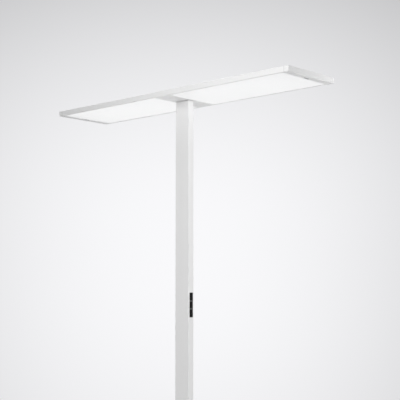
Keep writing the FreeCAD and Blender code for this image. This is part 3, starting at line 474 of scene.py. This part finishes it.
def led_board(name, gloss, depth):
    """White mask with phosphor windows in a row, 6 mm apart along X."""
    material, finish = new_finish(name)
    spot = finish.spot()
    window = finish.axes(spot)[0].wave(WINDOW_PITCH).above(WINDOW_EDGE)
    dust = finish.noise(spot, DUST, detail=3.0)
    mask = finish.blend(dust, *MASK_WHITES)
    surface(finish, base_color=finish.blend(window * PHOSPHOR_SHARE, mask, PHOSPHOR),
            roughness=dust.about(gloss, DUST_GLOSS), normal=finish.relief(window, depth))
    return material


ALONG_FIBRE = 0.15        # stretches a pattern into fibres
FIBRE = 0.35 * MM
TANGLE = 0.5 * MM
WOOL_GREYS = ((0.2, 0.2, 0.21), (0.42, 0.42, 0.43))


def felt(name, gloss, depth):
    """Pressed wool felt: fibres laid along Y and along X, darker between them."""
    material, finish = new_finish(name)
    spot = finish.spot()
    fibres = finish.noise(finish.stretched(spot, (1.0, ALONG_FIBRE, 1.0)), FIBRE, detail=5.0)
    tangle = finish.noise(finish.stretched(spot, (ALONG_FIBRE, 1.0, 1.0)), TANGLE, detail=5.0)
    nap = fibres * 0.5 + tangle * 0.5
    surface(finish, base_color=finish.blend(nap, *WOOL_GREYS), roughness=gloss,
            normal=finish.relief(nap, depth))
    return material


# ------------------------------------------------------- the slots' finishes

FINISHES = {
    "base_coat": (powder_coat, dict(level=0.84, gloss=0.55, lump=0.9 * MM, depth=0.02 * MM)),
    "column_coat": (powder_coat, dict(level=0.84, gloss=0.42, lump=1.6 * MM, depth=0.006 * MM,
                                      drawn=ALONG_Z)),
    "head_coat": (powder_coat, dict(level=0.84, gloss=0.42, lump=1.6 * MM, depth=0.006 * MM,
                                    drawn=ALONG_X, seam=True)),
    "cap_coat": (powder_coat, dict(level=0.83, gloss=0.48, lump=1.2 * MM, depth=0.006 * MM,
                                   seam=True)),
    "neck_coat": (powder_coat, dict(level=0.78, gloss=0.5, lump=1.2 * MM, depth=0.006 * MM)),
    "opal_panel": (opal_panel, dict(tone=0.24, gloss=0.5)),
    "clear_acrylic": (moulded, dict(colour=(0.88, 0.92, 0.91), gloss=0.12, lump=3 * MM,
                                    depth=0.03 * MM, spread=0.03, coat_weight=0.5)),
    "satin_acrylic": (uplight_pane, dict(tone=0.5, gloss=0.5, lump=0.5 * MM,
                                         depth=0.02 * MM)),
    "reflector_white": (moulded, dict(colour=grey(0.93), gloss=0.7, lump=1 * MM,
                                      depth=0.01 * MM, spread=0.02)),
    "raw_aluminium": (drawn_metal, dict(colour=(0.8, 0.81, 0.82), gloss=0.3, axis=ALONG_X)),
    "zinc_steel": (zinc_plate, dict(gloss=0.2)),
    "grey_plastic": (moulded, dict(colour=(0.62, 0.63, 0.64), gloss=0.5, lump=0.5 * MM,
                                   depth=0.02 * MM)),
    "driver_white": (moulded, dict(colour=(0.84, 0.84, 0.83), gloss=0.5, lump=0.5 * MM,
                                   depth=0.02 * MM, flow=(1.0, 1.0, 0.2))),
    "black_plastic": (switch_plastic, dict(levels=(0.004, 0.008), gloss=0.6, lump=0.4 * MM,
                                           depth=0.02 * MM)),
    "key_black": (moulded, dict(colour=(0.004, 0.004, 0.0042), gloss=0.5, lump=0.3 * MM,
                                depth=0.01 * MM, spread=0.2, specular_ior_level=0.08)),
    "status_lens": (moulded, dict(colour=grey(0.1), gloss=0.25, lump=0.5 * MM,
                                  depth=0.01 * MM, emission_color=grey(0.02),
                                  emission_strength=1.0)),
    "circuit_board": (circuit_board, dict(gloss=0.3, depth=0.04 * MM)),
    "led_board": (led_board, dict(gloss=0.45, depth=0.05 * MM)),
    "lead_sheath": (moulded, dict(colour=(0.8, 0.8, 0.79), gloss=0.45, lump=1.2 * MM,
                                  depth=0.03 * MM, flow=(1.0, 1.0, 0.1))),
    "sensor_grey": (lens_rings, dict(colour=(0.3, 0.3, 0.31), gloss=0.3, pitch=1 * MM,
                                     depth=0.1 * MM, centre=0.5765)),
    "felt": (felt, dict(gloss=0.95, depth=0.4 * MM)),
}


def dress_nodes():
    """Gives each carried-over node the finish of its slot."""
    finishes = {name: make(name, **details) for name, (make, details) in FINISHES.items()}
    slots = {part["node"]: part["material_slot"] for part in frame["record"]["subparts"]}
    for name, node in frame["nodes"].items():
        node.data.materials.clear()
        node.data.materials.append(finishes[slots[name]])


# ------------------------------------------------------------------ studio

FLOOR_RADIUS = 5.0
FLOOR_CORNERS = 64
FLOOR_CLEAR = 1.0         # the floor fades out from here to its rim
FLOOR_LEVEL = 0.66        # as the camera sees it
FLOOR_BOUNCE = 0.42       # as it lights the lamp from below
FLOOR_EVEN = 0.76         # the even part of what the camera sees, and its share
FLOOR_EVEN_SHARE = 0.55


def studio_floor():
    """A pale disc whose rim and underside are clear, and which casts no shadow.

    With u the share of the way from where the fade starts to the rim, it is clear by
    u * u * (3 - 2 * u).
    """
    angles = np.linspace(0.0, FULL_TURN, FLOOR_CORNERS, endpoint=False)
    rim = np.stack([np.cos(angles), np.sin(angles), angles * 0.0], axis=1) * FLOOR_RADIUS
    mesh = bpy.data.meshes.new("studio_floor")
    mesh.from_pydata(rim.tolist(), [], [list(range(FLOOR_CORNERS))])
    floor = bpy.data.objects.new("studio_floor", mesh)
    bpy.context.scene.collection.objects.link(floor)
    material, finish = new_finish("studio_floor")
    x, y, _ = finish.axes(finish.spot())
    reach = (x * x + y * y) ** 0.5
    fade = ((reach - FLOOR_CLEAR) / (FLOOR_RADIUS - FLOOR_CLEAR)).most(0.0).least(1.0)
    seen, passing = finish.outputs("ShaderNodeLightPath", ("Is Camera Ray", "Is Shadow Ray"))
    tone = finish.blend(seen, grey(FLOOR_BOUNCE), grey(FLOOR_LEVEL))
    paint = finish.node("ShaderNodeBsdfDiffuse", sockets={"Color": tone})
    even = finish.node("ShaderNodeEmission", sockets={"Color": rgba(grey(FLOOR_EVEN))})
    shown = finish.mixed(seen * FLOOR_EVEN_SHARE, paint, even)
    clear = finish.node("ShaderNodeBsdfTransparent")
    below = finish.node("ShaderNodeNewGeometry", output="Backfacing")
    hidden = (fade * fade * (3.0 - fade * 2.0)).most(below).most(passing)
    finish.node("ShaderNodeOutputMaterial", sockets={
        "Surface": finish.mixed(hidden, shown, clear)})
    mesh.materials.append(material)


BACKDROP = {"level": 0.947, "top": 0.06, "top_fall": 4.5, "bottom": 0.03, "bottom_fall": 2.6,
            "middle": -0.016, "side_fall": 3.3, "least_top": 0.5, "least_bottom": 0.88,
            "least_side": 0.75}
BACKDROP_TINT = (1.0, 1.0, 1.018)
WORLD_LIGHT = 0.12


def studio_world(side_axis):
    """Backdrop for the camera and for reflections, even soft light for the rest.

    With rise the height of the view's direction and across its part along the picture's
    side, the backdrop is (level - fall * (rise beyond top or bottom) ** 2)
    * (1 - side_fall * (across - middle) ** 2), never below its least values.
    """
    world = bpy.data.worlds.new("studio")
    world.use_nodes = True
    bpy.context.scene.world = world
    finish = Finish(world.node_tree)
    way = finish.node("ShaderNodeTexCoord", output="Generated")
    rise = finish.axes(way)[2]
    across = finish.node("ShaderNodeVectorMath", {"operation": "DOT_PRODUCT"},
                         {0: way, 1: tuple(side_axis)}, output="Value") - BACKDROP["middle"]
    above = (rise - BACKDROP["top"]).most(0.0)
    below = (BACKDROP["bottom"] - rise).most(0.0)
    upright = ((BACKDROP["level"] - above * above * BACKDROP["top_fall"])
               .most(BACKDROP["least_top"])
               - (below * below * BACKDROP["bottom_fall"])
               .least(BACKDROP["level"] - BACKDROP["least_bottom"]))
    sideways = (1.0 - across * across * BACKDROP["side_fall"]).most(BACKDROP["least_side"])
    seen = finish.blend(upright * sideways, BLACK, BACKDROP_TINT)
    camera, glossy, transmitted = finish.outputs("ShaderNodeLightPath", (
        "Is Camera Ray", "Is Glossy Ray", "Is Transmission Ray"))
    light = finish.node("ShaderNodeBackground", sockets={"Color": rgba(grey(1.0)),
                                                         "Strength": WORLD_LIGHT})
    picture = finish.node("ShaderNodeBackground", sockets={"Color": seen, "Strength": 1.0})
    finish.node("ShaderNodeOutputWorld", sockets={
        "Surface": finish.mixed((camera + glossy + transmitted).least(1.0), light, picture)})


SOFTBOXES = {   # place, target, width, height, watts
    "front_softbox": ((1.0, -2.4, 1.75), (0.3, 0.0, 1.5), 1.0, 1.8, 28.5),
    "near_softbox": ((0.65, -1.5, 1.9), (0.25, 0.0, 1.7), 0.6, 1.2, 4.6),
    "head_softbox": ((0.4, -1.2, 2.2), (0.3, 0.0, 1.9), 0.9, 0.9, 2.4),
    "side_softbox": ((1.3, 1.0, 1.7), (0.2, 0.0, 1.6), 0.6, 0.8, 5.1),
    "end_softbox": ((0.74, 0.42, 1.94), (0.6, 0.1, 1.94), 0.12, 0.12, 0.26),
    "low_softbox": ((2.0, 0.9, 1.1), (0.0, 0.0, 1.3), 1.2, 1.6, 15.0),
    "under_softbox": ((-1.3, 0.0, -0.5), (-0.9, 0.0, 3.0), 1.6, 1.6, 20.0),
    "rear_softbox": ((-1.6, 2.2, 2.4), (0.0, 0.0, 1.4), 2.6, 2.6, 25.0),
}
SHINELESS = ("front_softbox", "near_softbox")   # they make no highlight
OVERHEAD = 1.6            # strength of the broad light from above
OVERHEAD_SPREAD = 70.0    # degrees across


def softboxes():
    """Area lights that the camera does not see, and a broad one from above."""
    for name, (place, target, width, height, watts) in SOFTBOXES.items():
        lamp = bpy.data.lights.new(name, "AREA")
        lamp.shape = "RECTANGLE"
        lamp.size, lamp.size_y, lamp.energy = width, height, watts
        box = bpy.data.objects.new(name, lamp)
        box.location = place
        box.rotation_euler = (Vector(target) - Vector(place)).to_track_quat("-Z", "Y").to_euler()
        box.visible_camera = False
        box.visible_glossy = name not in SHINELESS
        bpy.context.scene.collection.objects.link(box)
    overhead = bpy.data.lights.new("overhead", "SUN")
    overhead.energy = OVERHEAD
    overhead.angle = math.radians(OVERHEAD_SPREAD)
    bpy.context.scene.collection.objects.link(bpy.data.objects.new("overhead", overhead))


def studio():
    side_axis = place_camera()
    studio_floor()
    studio_world(side_axis)
    softboxes()
    bpy.context.scene.view_settings.view_transform = "Standard"


dress_nodes()
studio()
